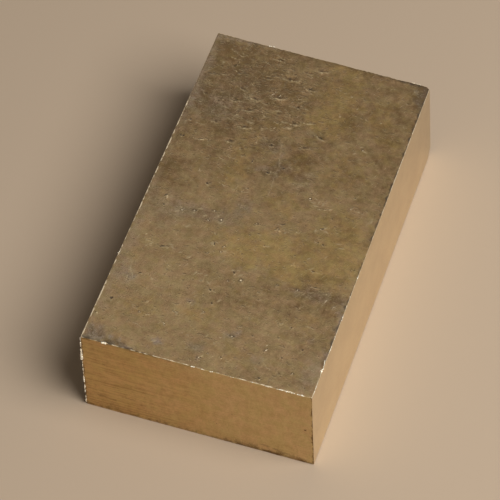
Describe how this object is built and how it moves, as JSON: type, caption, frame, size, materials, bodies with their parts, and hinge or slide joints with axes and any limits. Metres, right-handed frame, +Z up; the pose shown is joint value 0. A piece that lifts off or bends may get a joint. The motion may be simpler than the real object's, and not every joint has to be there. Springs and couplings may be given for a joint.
{
  "type": "beryllium copper plate",
  "caption": "Short sawn length of thick rectangular copper alloy plate, with a tarnished mill face, saw-cut ends and knocked edges.",
  "frame": {"origin": "middle of the footprint, on the underside that the plate rests on", "axes": "+Y along the length from the front saw cut to the back one, +X across the width to the smooth side, +Z up through the thickness to the tarnished face"},
  "size_m": [0.102, 0.181, 0.05],
  "materials": {
    "copper_alloy": "tarnished olive-brown mill face, bronze-brown sawn ends and smooth pale golden sides"
  },
  "bodies": {
    "root": {"cut_plate": "copper_alloy"}
  },
  "joints": []
}
